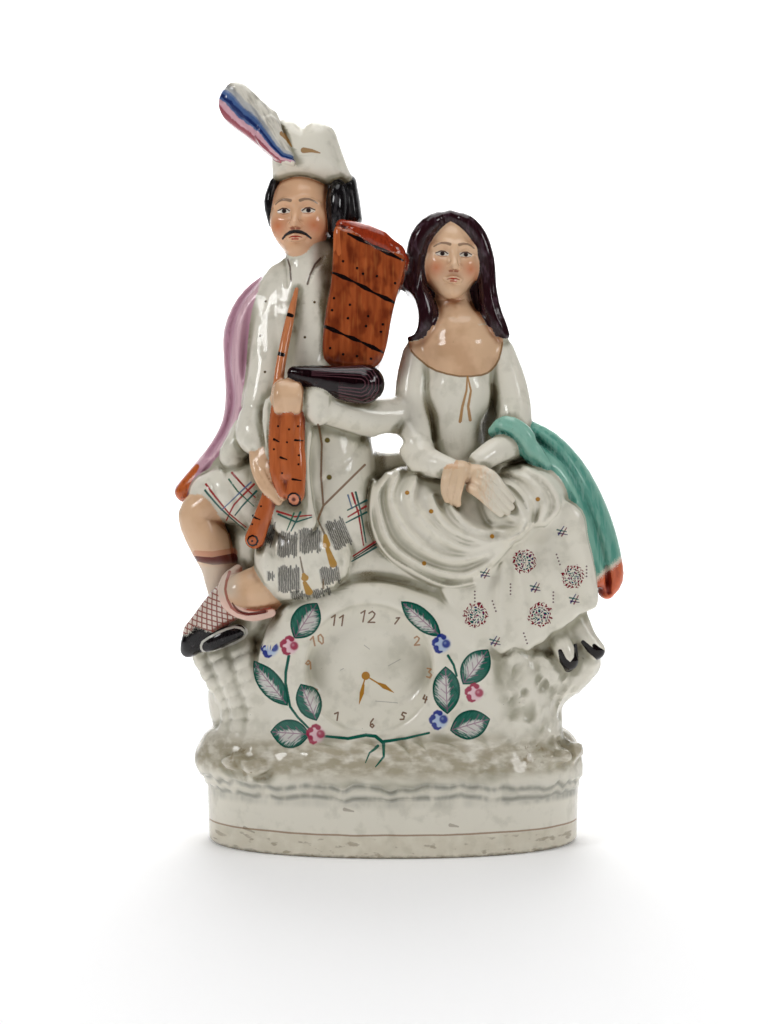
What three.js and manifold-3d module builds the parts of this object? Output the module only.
// A flat-backed earthenware chimney ornament, cast in one piece: a seated Highland piper and his
// companion over a clock face, on an oval rocky base. Millimetres, +Z up, the front towards -Y,
// the origin in the middle of the flat underside.
import * as THREE from "three";
import { mergeVertices } from "three/addons/utils/BufferGeometryUtils.js";
import Module from "manifold-3d";

const wasm = await Module();
wasm.setup();

// Driving dimensions
const BASE_HALF_WIDTH = 86;
const BASE_FRONT = 45;
const BASE_BACK = 33;
const PLINTH_TOP = 27;
const BACK_PLANE = 25; // the flat back of the figures
const MOUND_FRONT = -30;
const RIGHT_END_SHARE = 0.35; // the ground overhangs less at the right end than at the left
const DIAL = { x: -10.8, z: 82.6, half: 28.6, floor: -23.5, ring: 31.2, ringWidth: 3.4 };

// The joins leave slivers: edges up to SHORT_EDGE shrink to a point where no facet moves further than
// MOVE_LIMIT out of its own plane.
const SHORT_EDGE = 7;
const MOVE_LIMIT = 0.16;

const GLAZE = new THREE.MeshStandardMaterial({ color: 0xe9e8e0, roughness: 0.12, metalness: 0 });

// A closed three.js geometry as a solid.
function solid(geometry) {
  const bare = geometry.clone();
  bare.deleteAttribute("normal");
  bare.deleteAttribute("uv");
  const merged = mergeVertices(bare, 1e-3);
  return new wasm.Manifold(
    new wasm.Mesh({
      numProp: 3,
      vertProperties: new Float32Array(merged.attributes.position.array),
      triVerts: new Uint32Array(merged.index.array),
    }),
  );
}

// A geometry from rings of equal length, closed by a point at each end.
function ringBody(rings, first, last) {
  const sides = rings[0].length;
  const points = [first, ...rings.flat(), last];
  const faces = [];
  const at = (ring, side) => 1 + ring * sides + (side % sides);
  for (let side = 0; side < sides; side++) {
    faces.push(0, at(0, side + 1), at(0, side));
    for (let ring = 0; ring + 1 < rings.length; ring++) {
      faces.push(at(ring, side), at(ring, side + 1), at(ring + 1, side + 1));
      faces.push(at(ring, side), at(ring + 1, side + 1), at(ring + 1, side));
    }
    faces.push(points.length - 1, at(rings.length - 1, side), at(rings.length - 1, side + 1));
  }
  const geometry = new THREE.BufferGeometry().setFromPoints(points);
  geometry.setIndex(faces);
  return geometry;
}

// A limb, fold or lock: a round-ended tube through stops of [x, y, z, radius]. Depth stretches it
// along Y about its own centre line.
function limb(stops, { depth = 1, sides = 7, steps = 1, caps = 1 } = {}) {
  const line = new THREE.CatmullRomCurve3(
    stops.map(([x, y, z]) => new THREE.Vector3(x, y, z)),
    false,
    "catmullrom",
  );
  const girth = new THREE.CatmullRomCurve3(
    stops.map((stop) => new THREE.Vector3(stop[3], 0, 0)),
    false,
    "catmullrom",
  );
  const count = steps * (stops.length - 1);
  const rings = [];
  let across = new THREE.Vector3();
  const ring = (centre, along, radius) => {
    across.addScaledVector(along, -across.dot(along)).normalize();
    const up = new THREE.Vector3().crossVectors(along, across);
    const made = [];
    for (let side = 0; side < sides; side++) {
      const angle = (2 * Math.PI * side) / sides;
      const offset = across.clone().multiplyScalar(radius * Math.cos(angle));
      offset.addScaledVector(up, radius * Math.sin(angle));
      offset.y *= depth;
      made.push(centre.clone().add(offset));
    }
    rings.push(made);
  };
  const start = line.getTangent(0);
  across.crossVectors(start, new THREE.Vector3(0, Math.abs(start.y) > 0.9 ? 0 : 1, Math.abs(start.y) > 0.9 ? 1 : 0));
  const domed = (t, way, order) => {
    const along = line.getTangent(t);
    const radius = girth.getPoint(t).x;
    for (const step of order) {
      const angle = (Math.PI / 2) * (step / (caps + 1));
      const centre = line.getPoint(t).addScaledVector(along, way * radius * Math.sin(angle));
      ring(centre, along, radius * Math.cos(angle));
    }
    return line.getPoint(t).addScaledVector(along, way * radius);
  };
  const outwards = Array.from({ length: caps }, (_, index) => index + 1);
  const first = domed(0, -1, [...outwards].reverse());
  for (let index = 0; index <= count; index++) {
    ring(line.getPoint(index / count), line.getTangent(index / count), girth.getPoint(index / count).x);
  }
  const last = domed(1, 1, outwards);
  return ringBody(rings, first, last);
}

// An ellipsoid with its half sizes, turned about Y by tilt degrees.
function blob([x, y, z], [halfX, halfY, halfZ], tilt = 0, segments = 10) {
  const geometry = new THREE.SphereGeometry(1, segments, Math.round(segments * 0.6));
  geometry.rotateX(Math.PI / 2);
  geometry.scale(halfX, halfY, halfZ);
  geometry.rotateY(THREE.MathUtils.degToRad(tilt));
  geometry.translate(x, y, z);
  return geometry;
}

// A plate seen from the front as a smooth outline of [x, z], from front to back along Y.
function plate(outline, front, back, round, { points = 26, smooth = true } = {}) {
  const corners = outline.map(([x, z]) => new THREE.Vector2(x, z));
  const shape = new THREE.Shape();
  if (smooth) {
    const loop = new THREE.CatmullRomCurve3(
      corners.map((corner) => new THREE.Vector3(corner.x, corner.y, 0)),
      true,
      "catmullrom",
    );
    shape.setFromPoints(loop.getSpacedPoints(points).slice(0, -1).map((p) => new THREE.Vector2(p.x, p.y)));
  } else {
    shape.setFromPoints(corners);
  }
  const geometry = new THREE.ExtrudeGeometry(shape, {
    depth: back - front - 2 * round,
    bevelThickness: round,
    bevelSize: round,
    bevelOffset: -round,
    bevelSegments: 1,
    steps: 1,
  });
  geometry.rotateX(Math.PI / 2);
  geometry.translate(0, back - round, 0);
  return geometry;
}

// Puffed cloth gathered at both ends, like the segments of a fruit: rings along the line from start
// to end, each an oval with a cord-like ridge at every fold.
function puff({ start, end, side, halfSide, halfFront, folds, foldAngle, ridge, swell, farSide }) {
  const from = new THREE.Vector3(...start);
  const to = new THREE.Vector3(...end);
  const sideways = new THREE.Vector3(...side).normalize();
  const forwards = new THREE.Vector3(0, -1, 0);
  const turn = new THREE.Vector3().crossVectors(forwards, sideways);
  const leftHanded = turn.dot(to.clone().sub(from)) < 0;
  const angles = [];
  for (let fold = 0; fold < folds; fold++) {
    angles.push({ angle: fold * foldAngle, high: ridge, reach: 1 });
    angles.push({ angle: (fold + 0.45) * foldAngle, high: -ridge, reach: 1 });
  }
  const lastAngle = folds * foldAngle;
  for (const share of [0, 0.25, 0.5, 0.8]) {
    const angle = lastAngle + share * (2 * Math.PI - lastAngle);
    angles.push({ angle, high: share === 0 ? ridge : 0, reach: angle > Math.PI ? farSide : 1 });
  }
  const rings = [-0.92, -0.68, -0.36, 0, 0.36, 0.68, 0.92].map((along) => {
    const girth = (1 - Math.abs(along) ** 3) ** (1 / 3) * (1 + swell * along);
    const centre = from.clone().lerp(to, (along + 1) / 2);
    const ring = angles.map(({ angle, high, reach }) => {
      const forth = (halfFront * girth + high) * Math.cos(angle);
      const out = reach * (halfSide * girth + high) * Math.sin(angle);
      return centre.clone().addScaledVector(forwards, forth).addScaledVector(sideways, out);
    });
    return leftHanded ? ring.reverse() : ring;
  });
  return ringBody(rings, from, to);
}

// The oval outline of the base: an ellipse in front, and a flatter curve behind.
function ovalPoint(angle, growX, growFront, growBack, z) {
  const behind = Math.sin(angle) > 0;
  const power = behind ? 0.66 : 0.94;
  const cos = Math.cos(angle);
  const sin = Math.sin(angle);
  const depth = behind ? BASE_BACK + growBack : BASE_FRONT + growFront;
  return new THREE.Vector3(
    (BASE_HALF_WIDTH + growX) * Math.sign(cos) * Math.abs(cos) ** power,
    depth * Math.sign(sin) * Math.abs(sin) ** power,
    z,
  );
}

// The plinth, its overhanging rocky lip, and the ground that climbs to the mound.
function base() {
  const sides = 36;
  // Each row is height, and how far the outline stands out at the ends, in front and behind.
  const rows = [
    [0, -2.5, -2.5, -2],
    [2, -0.5, -0.5, -0.3],
    [14, 0.4, 0, 0],
    [PLINTH_TOP - 3, 2, 0.2, 0],
    [PLINTH_TOP + 1, 4, 1.6, 0.6],
    [34, 6.5, -0.5, 0.4],
    [40, 7, -7, -1],
    [46, 2, -15, -4],
    [52, -8, -22, -9],
  ];
  const rockAt = (z) => (z > PLINTH_TOP ? 1 : 0);
  const rings = rows.map(([z, ends, front, back]) =>
    Array.from({ length: sides }, (_, side) => {
      const angle = (2 * Math.PI * side) / sides;
      const rock = rockAt(z) * 1.1 * (Math.sin(7 * angle + z) + 0.7 * Math.sin(11 * angle));
      const end = ends > 0 && Math.cos(angle) > 0 ? RIGHT_END_SHARE * ends : ends;
      return ovalPoint(angle, end + rock, front + rock, back, z + 0.8 * rock);
    }),
  );
  const top = rows[rows.length - 1][0];
  return [ringBody(rings, new THREE.Vector3(0, 0, 0), new THREE.Vector3(0, 0, top))];
}

// The mound that carries the dial: an arched face with a soft edge.
function mound() {
  const arch = [
    [-62, 42], [-65, 66], [-58, 92], [-42, 110], [-11, 120.5],
    [20, 112], [39, 96], [50, 74], [50, 42],
  ];
  return [plate(arch, MOUND_FRONT, 22, 5, { points: 20 })];
}

// The soft moulded rim of the dial, turned about the dial's own axis.
function dialRim() {
  const { ring, ringWidth } = DIAL;
  const arcSteps = 6;
  const profile = Array.from({ length: arcSteps + 1 }, (_, step) => {
    const angle = (2 * Math.PI * (step % arcSteps)) / arcSteps;
    return new THREE.Vector2(ring + ringWidth * Math.cos(angle), 0.7 * ringWidth * Math.sin(angle));
  });
  const geometry = new THREE.LatheGeometry(profile, 24);
  geometry.translate(DIAL.x, MOUND_FRONT + 0.6, DIAL.z);
  return geometry;
}

// The dished face: a bowl whose flat floor is lower than it is wide.
function dialBowl() {
  const { x, z, half, floor } = DIAL;
  const sides = 24;
  const rows = [
    [MOUND_FRONT - 12, half + 3, half + 3],
    [MOUND_FRONT - 1, half, half],
    [floor, half * 0.95, half * 0.68],
  ];
  const rings = rows.map(([y, halfX, halfZ]) =>
    Array.from({ length: sides }, (_, side) => {
      const angle = (-2 * Math.PI * side) / sides;
      return new THREE.Vector3(x + halfX * Math.cos(angle), y, z + halfZ * Math.sin(angle));
    }),
  );
  return ringBody(rings, new THREE.Vector3(x, rows[0][0], z), new THREE.Vector3(x, floor, z));
}

// The left trunk: columns side by side, each with a row of ribs down it.
function ribbedTrunk() {
  const columns = [
    [[-88, -8, 88], [-83, -8, 74], [-76.5, -9, 60], [-78, -12, 43]],
    [[-79, -12, 90], [-75, -13, 74], [-69, -15, 60], [-69, -18, 43]],
    [[-70, -15, 92], [-66.5, -17, 76], [-61.5, -19, 60], [-60, -23, 43]],
  ];
  const radius = 6;
  const ribs = 6;
  const swell = 0.5;
  const made = columns.map((column) => {
    const line = new THREE.CatmullRomCurve3(column.map((p) => new THREE.Vector3(...p)));
    const stops = line.getPoints(2 * ribs).map((p, index) => [p.x, p.y, p.z, radius + (index % 2 ? swell : -swell)]);
    return limb(stops, { sides: 6 });
  });
  return [...made, blob([-62, 5, 66], [27, 20, 30], 0, 8), blob([-80, 4, 86], [15, 16, 10], 0, 8)];
}

// The right trunk: a heap of weathered lumps, narrower at its waist.
function rockyTrunk() {
  const lumps = [
    [[57, -17, 84], [10, 11, 9]],
    [[69, -17, 77], [9, 10, 9]],
    [[55, -22, 68], [7, 8, 12]],
    [[66, -18, 62], [8, 9, 10]],
    [[78, -10, 75], [11, 12, 9]],
    [[58, -23, 52], [8, 9, 8]],
    [[71, -17, 50], [9, 11, 8]],
  ];
  return [...lumps.map(([centre, halves]) => blob(centre, halves, 0, 8)), blob([62, 4, 66], [20.5, 20, 34], 0, 8)];
}

function piperBody() {
  const torso = [
    [-41, -2, 264, 11], [-42, -3, 252, 19.5], [-40, -4, 232, 23], [-38, -5, 205, 25],
    [-36, -6, 178, 26], [-34, -7, 150, 26],
  ];
  const collar = [[-41, -8, 275, 8.8], [-41, -9, 262, 11]];
  const nearArm = [
    [-51, -7, 261, 8], [-57, -10, 249, 9], [-58, -13, 232, 9.4], [-57.5, -17, 214, 9.4], [-60.5, -20, 198, 9],
  ];
  const nearCuff = [[-62, -23, 192, 8.4], [-60.5, -29, 184, 7.8]];
  const nearHand = [[-58.5, -33, 177, 5.8], [-57, -37, 169, 6], [-52, -39.5, 160, 4.6]];
  const farArm = [[3, -14, 198.5, 8.6], [-14, -24, 196.5, 8.4], [-30, -33, 201, 7.6], [-38, -37, 202.3, 7.6]];
  const farHand = [[-43, -38, 204, 7.4], [-49, -38, 203.7, 7.2]];
  return [
    limb(torso, { depth: 0.94, sides: 12 }),
    limb(collar, { sides: 10 }),
    limb(nearArm),
    limb(nearCuff),
    limb(nearHand),
    limb(farArm),
    limb(farHand),
    blob([-36, 8, 222], [30, 18, 56], 4, 12),
    blob([-3, 4, 167.5], [14.5, 13, 13.6]),
  ];
}

function piperHead() {
  const bonnet = [
    [-54.6, 307], [-56, 314], [-55.6, 328], [-52, 334.6], [-41.6, 332.2], [-31.6, 333], [-25.6, 327],
    [-21.6, 314.5], [-19.2, 307.4], [-30, 304.6], [-43.4, 306.4],
  ];
  return [
    blob([-42, -8, 288], [13.2, 15, 18.6], 0, 12),
    limb([[-42.8, -21, 292, 1.8], [-43.2, -23, 286, 2.5]], { sides: 6 }),
    plate(bonnet, -22.5, 9, 4, { points: 18 }),
    blob([-24.6, -9, 292], [5.2, 8.5, 11.5], 6, 8),
    blob([-20.5, 0, 294], [5.4, 9, 13], 8, 8),
    blob([-55.4, -5, 296], [3.4, 7, 11], 0, 8),
  ];
}

// The plume: a broad curled feather and the quill that crosses the front of the bonnet.
function plume() {
  const web = [
    [-52.4, 334.4], [-59.4, 341], [-67.4, 348.8], [-72.4, 350.4], [-79.6, 343.4], [-78, 334.2],
    [-68, 326.2], [-57, 316.8], [-50, 322],
  ];
  const quill = [[-57, 326, 5], [-52.6, 319, 4.2], [-47, 313.6, 2.4]].map(([x, z, radius]) => [x, -20.5, z, radius]);
  return [plate(web, -23.5, -7, 3, { points: 16 }), limb(quill)];
}

// The plaid over the shoulder, in two long folds, with its fringe.
function plaid() {
  const outer = [
    [-54, 0, 263.5, 4.5], [-66, 1, 254, 6], [-72.5, 1, 241, 7], [-74, 1, 226, 6.4],
    [-72.5, 1, 208, 6.6], [-75, 1, 194, 5.6], [-81.5, 0, 181.5, 5.4], [-89.5, -1, 171.5, 5.2],
    [-97.5, -2, 162, 5],
  ];
  const inner = [
    [-56, -7, 260.5, 4], [-65, -8, 248, 4.2], [-69.5, -9, 234, 4], [-69, -9, 220, 4],
    [-67.5, -10, 208, 4.6], [-71, -8, 195, 4.4], [-77, -6, 182, 4.4], [-84.5, -5, 172.5, 4.4],
    [-93, -4, 164, 4],
  ];
  return [limb(outer, { depth: 1.9 }), limb(inner, { depth: 1.2, sides: 7 })];
}

// The bag with its pack of drones, the chanter above the far hand, and the pipes below it.
function bagpipe() {
  const pack = [
    [-21, 285], [-9, 280], [5, 270.5], [4, 258], [0, 240], [-4, 226],
    [-8, 219], [-20, 218], [-31, 219.5], [-32, 226], [-31, 244], [-26, 268],
  ];
  const roll = [[-19.5, -18, 283, 4.4], [-8, -20, 277, 5], [2, -18, 270, 4.6]];
  const bag = [[-45, -39, 215.8, 2.4], [-34, -39, 213.4, 5], [-22, -38, 211, 7.2], [-12, -36, 209.3, 8.2]];
  const chanter = [[-43.6, -25, 253, 1.3], [-47, -29, 234, 2.8], [-50.5, -35, 211, 4]];
  const flutes = [
    [[-50.5, -38, 197, 3.6], [-50.8, -39, 180, 3.8], [-49.8, -40, 163, 3.4]],
    [[-46, -40, 197, 3.6], [-46.2, -41, 180, 3.8], [-45.5, -41.5, 160, 4.2]],
    [[-41, -38, 197, 3.6], [-41, -40, 180, 3.8], [-41.3, -40.5, 159, 3.8]],
  ];
  const drone = [[-53, -38, 162, 4], [-58, -38, 149, 4.2], [-62.5, -38, 138.5, 4.4]];
  return [
    plate(pack, -27, 8, 4, { points: 20 }),
    limb(roll),
    limb(bag, { sides: 8 }),
    limb(chanter, { sides: 7 }),
    ...flutes.map((flute) => limb(flute, { sides: 6 })),
    limb(drone),
  ];
}

// Kilt, pouch and both legs down to the shoes.
function piperLegs() {
  const lap = [[-44, -10, 157, 19], [-62, -14, 157, 15], [-78, -15, 157, 12.5], [-87, -15, 156.5, 10.5]];
  const knee = [[-82, -14, 155, 10], [-89.5, -14, 149.5, 9.8], [-84.5, -14, 138, 9.4], [-80, -13, 126, 8.6], [-76, -13, 114, 8]];
  const calf = [[-46, -20, 121, 10], [-57, -26, 119.5, 10.6], [-66, -28, 117.5, 10], [-73, -28, 115, 9]];
  const cuff = [[-74.5, -21, 124, 3.2], [-78.5, -31, 118, 3.2], [-75, -36, 109.5, 3]];
  const sock = [[-76, -28, 112, 9], [-83, -26, 104.5, 7.6], [-89, -24, 97, 6.2]];
  const shoe = [[-89, -23, 97, 6.4], [-92.3, -23, 91.6, 4.6]];
  const otherShoe = [[-85, -26, 92.3, 3.8], [-77, -27, 95.6, 4.6], [-71, -26, 98.3, 3.8]];
  const flap = [[-58, -35, 152, 3], [-52, -38, 146.5, 3.4], [-43, -39, 144.5, 3.4], [-36, -38, 148, 3.2], [-33, -34, 156, 3]];
  return [
    limb(lap, { depth: 1.1, sides: 8 }),
    limb(knee, { depth: 1.2 }),
    limb(calf, { sides: 8 }),
    limb(cuff, { sides: 6 }),
    limb(sock),
    limb(shoe),
    limb(otherShoe),
    limb(flap, { sides: 6 }),
    blob([-42, -12, 152], [27, 25, 18]),
    blob([-17, -8, 150], [16, 20, 22]),
    blob([-39.8, -23, 133], [20.4, 16.5, 17.8], 0, 12),
    blob([-40, 4, 126], [46, 19, 24]),
    blob([-62, -4, 108], [26, 22, 16], -20, 8),
    blob([-66, -6, 136], [14, 14, 22], 0, 8),
  ];
}

function ladyBody() {
  const torso = [[30, -6, 229, 17], [30, -8, 214, 16], [29, -10, 198, 13.5], [28, -11, 180, 13.5]];
  const neck = [[27.3, -9, 256, 9.4], [29, -9, 246, 10], [30.5, -8, 236, 13]];
  const nearArm = [[13, -9, 226, 8], [9.7, -13, 208, 8], [10.3, -19, 190, 8], [13, -27, 177, 7.2]];
  const nearForearm = [[13, -27, 177, 7.2], [20, -35, 171, 6], [27, -40, 168, 5.2]];
  const farArm = [[47.5, -7, 226, 8.8], [53.5, -9, 211, 8.8], [56, -13, 195, 8.2], [54, -21, 181.5, 7.4]];
  const farForearm = [[54, -22, 181, 7], [45, -32, 176, 6], [37, -39, 170, 5]];
  const nearHand = [[26.5, -41, 168, 5.6], [29.5, -43, 161, 5.8], [29, -42, 156, 4.2]];
  const farHand = [[37, -41, 167, 4.8], [43, -42, 160, 5.4], [49.5, -41, 151, 4.2]];
  return [
    limb(torso, { depth: 0.95, sides: 10 }),
    limb(neck, { sides: 8 }),
    blob([30.5, -6, 229], [22.5, 14, 10]),
    limb(nearArm),
    limb(nearForearm),
    limb(farArm),
    limb(farForearm),
    limb(nearHand),
    limb(farHand),
    blob([31, 8, 206], [22, 17, 38]),
  ];
}

function ladyHead() {
  const nearFall = [[12, -4, 277, 8], [10.2, -5, 262, 6.6], [13, -6, 248, 6.2], [12, -7, 238.5, 4.6], [8, -8, 233.5, 2.6]];
  const farFall = [[40, -4, 277, 8], [42.6, -4, 262, 6.2], [44.3, -4, 248, 5.4], [49.3, -5, 238, 4.2]];
  return [
    blob([26.6, -8, 269.6], [13, 14.6, 19], 0, 12),
    limb([[26.5, -21, 271, 1.6], [26.5, -23, 265.5, 2.1]], { sides: 6 }),
    blob([26.2, -1, 273.2], [20, 17, 19.4], 0, 12),
    limb(nearFall, { depth: 1.5 }),
    limb(farFall, { depth: 1.5 }),
  ];
}

// The puffed overskirt, drawn up between two swags, over the printed skirt and its long folds.
function ladySkirts() {
  const hem = [
    [22, 128], [24, 102], [29, 91.5], [39, 89.5], [50, 90], [62, 92], [75, 97],
    [83, 105], [93, 112], [90, 128], [86, 144], [80, 158], [50, 164],
  ];
  const foldLines = [[31, 30], [39, 39], [48, 49.5], [58, 62], [67, 76]];
  const folds = foldLines.map(([top, foot]) => limb(
    [[top, -33, 132, 2.6], [(top + foot) / 2, -31.5, 114, 3.4], [foot, -29, 93 + 0.32 * Math.max(0, foot - 50), 3.2]],
    { sides: 5 },
  ));
  return [
    plate(hem, -31, 22, 5, { points: 22 }),
    puff({
      start: [6, -18, 184], end: [52, -24, 138], side: [-1, 0, -1], halfSide: 38.5, halfFront: 20,
      folds: 7, foldAngle: 0.235, ridge: 1.1, swell: 0.1, farSide: 0.3,
    }),
    puff({
      start: [47, -22, 175], end: [63, -24, 144], side: [0.87, 0, 0.48], halfSide: 17.5, halfFront: 15,
      folds: 5, foldAngle: 0.33, ridge: 1, swell: 0, farSide: 0.6,
    }),
    blob([40, 2, 158], [44, 20, 22]),
    blob([14, 2, 136], [26, 22, 22]),
    blob([66, -4, 98], [18, 20, 16], 0, 8),
    ...folds,
  ];
}

// The shawl from the crook of the arm, down the side to its fringed end.
function shawl() {
  const over = [[45, -24, 190, 3.4], [52, -25, 191.5, 5], [60, -24, 183.5, 4.6], [67, -23, 173, 3.6]];
  const outer = [
    [60, -12, 191, 5.5], [74, -11, 181, 7], [85.5, -10, 166.5, 7.6], [93.5, -9, 149, 7.6],
    [99.8, -8, 131, 7.8], [101.7, -7, 119.5, 6.2],
  ];
  const inner = [[66, -19, 178, 4.4], [76.5, -18, 168, 5], [84.5, -16, 152, 5], [91, -14, 137, 5], [96.5, -13, 121, 4.6]];
  return [limb(over, { sides: 7 }), limb(outer, { depth: 1.5 }), limb(inner, { sides: 7 })];
}

function ladyFeet() {
  const shoe = [[77, -21, 98, 5], [79, -26, 90, 5.2], [80.3, -27, 85, 4.6]];
  const otherShoe = [[84, -16, 106, 5.4], [88.5, -19, 97, 5.2], [93, -20, 88.8, 5]];
  return [limb(shoe), limb(otherShoe), blob([86, -8, 85], [11, 13, 9], 30, 8)];
}

// The gap beside the lady's hair, and the one under the piper's far arm.
function gaps() {
  const reach = 60;
  return [
    [6.7, 244.5, 4.8, 10.5, -8],
    [-2.2, 184.8, 6.6, 4, 0],
  ].map(([x, z, halfX, halfZ, tilt]) => {
    const geometry = new THREE.CylinderGeometry(1, 1, 2 * reach, 16);
    geometry.scale(halfX, 1, halfZ);
    geometry.rotateY(THREE.MathUtils.degToRad(tilt));
    geometry.translate(x, 0, z);
    return geometry;
  });
}

// What lies behind the flat back.
function behind() {
  const [width, depth, height] = [300, 100, 400];
  const geometry = new THREE.BoxGeometry(width, depth, height);
  geometry.translate(0, BACK_PLANE + depth / 2, PLINTH_TOP + 24 + height / 2);
  return geometry;
}

function figure() {
  const raised = [
    ...mound(), ...ribbedTrunk(), ...rockyTrunk(), ...piperBody(), ...piperHead(), ...plume(),
    ...plaid(), ...bagpipe(), ...piperLegs(), ...ladyBody(), ...ladyHead(), ...ladySkirts(),
    ...shawl(), ...ladyFeet(), dialRim(),
  ];
  const joined = wasm.Manifold.union([...base(), ...raised].map(solid));
  const cut = wasm.Manifold.union([...gaps(), behind(), dialBowl()].map(solid));
  // The cast has no loose chips and no closed hollows, so its largest shell is all of it.
  const shells = joined.subtract(cut).decompose();
  return shells.sort((a, b) => b.volume() - a.volume())[0];
}

// Shrinks short edges to a point, shortest first, wherever the surface stays whole.
function withoutSlivers(made) {
  const { vertProperties, numProp, numVert, triVerts } = made.getMesh();
  const points = Array.from({ length: numVert }, (_, index) =>
    new THREE.Vector3().fromArray(vertProperties, index * numProp));
  const faces = Array.from({ length: triVerts.length / 3 }, (_, index) => [...triVerts.subarray(3 * index, 3 * index + 3)]);
  const facesAt = points.map(() => new Set());
  faces.forEach((face, index) => face.forEach((corner) => facesAt[corner].add(index)));
  const normalOf = (corners) => {
    const [a, b, c] = corners;
    return new THREE.Vector3().crossVectors(b.clone().sub(a), c.clone().sub(a));
  };
  const ring = (corner) => new Set([...facesAt[corner]].flatMap((face) => faces[face]));
  const allows = (from, to, place) => {
    for (const index of facesAt[from]) {
      const face = faces[index];
      if (face.includes(to)) continue;
      const before = normalOf(face.map((corner) => points[corner]));
      const after = normalOf(face.map((corner) => (corner === from ? place : points[corner])));
      const size = before.length();
      if (size > 1e-4 && Math.abs(before.dot(place.clone().sub(points[from]))) > MOVE_LIMIT * size) return false;
      if (size > 0.02 && before.dot(after) < 0.8 * size * after.length()) return false;
      if (after.length() < 1e-3) return false;
    }
    return true;
  };
  const shrink = (from, to, place) => {
    for (const index of [...facesAt[from]]) {
      const face = faces[index];
      if (face.includes(to)) {
        face.forEach((corner) => facesAt[corner].delete(index));
        faces[index] = null;
        continue;
      }
      face[face.indexOf(from)] = to;
      facesAt[to].add(index);
    }
    facesAt[from].clear();
    points[to].copy(place);
  };
  for (const limit of [0.25, 0.5, 1, 2, 4, SHORT_EDGE]) {
    const edges = [];
    for (const face of faces) {
      for (let side = 0; face && side < 3; side++) {
        const pair = [face[side], face[(side + 1) % 3]];
        if (pair[0] < pair[1] && points[pair[0]].distanceTo(points[pair[1]]) < limit) edges.push(pair);
      }
    }
    edges.sort((p, q) => points[p[0]].distanceTo(points[p[1]]) - points[q[0]].distanceTo(points[q[1]]));
    for (const [a, b] of edges) {
      const near = ring(a);
      if (!facesAt[a].size || !near.has(b)) continue;
      const common = [...ring(b)].filter((corner) => near.has(corner) && corner !== a && corner !== b);
      if (common.length !== 2) continue;
      const middle = points[a].clone().lerp(points[b], 0.5);
      const [drop, keep, place] = [[a, b, points[b].clone()], [b, a, points[a].clone()], [a, b, middle]]
        .find(([from, to, spot]) => allows(from, to, spot) && allows(to, from, spot)) ?? [];
      if (place) shrink(drop, keep, place);
    }
  }
  const geometry = new THREE.BufferGeometry().setFromPoints(points);
  geometry.setIndex(faces.filter((face) => face).flat());
  return geometry;
}

const mesh = new THREE.Mesh(withoutSlivers(figure()), GLAZE);
mesh.name = "figure_group";
mesh.geometry.computeVertexNormals();

const group = new THREE.Group();
group.add(mesh);

export default group;
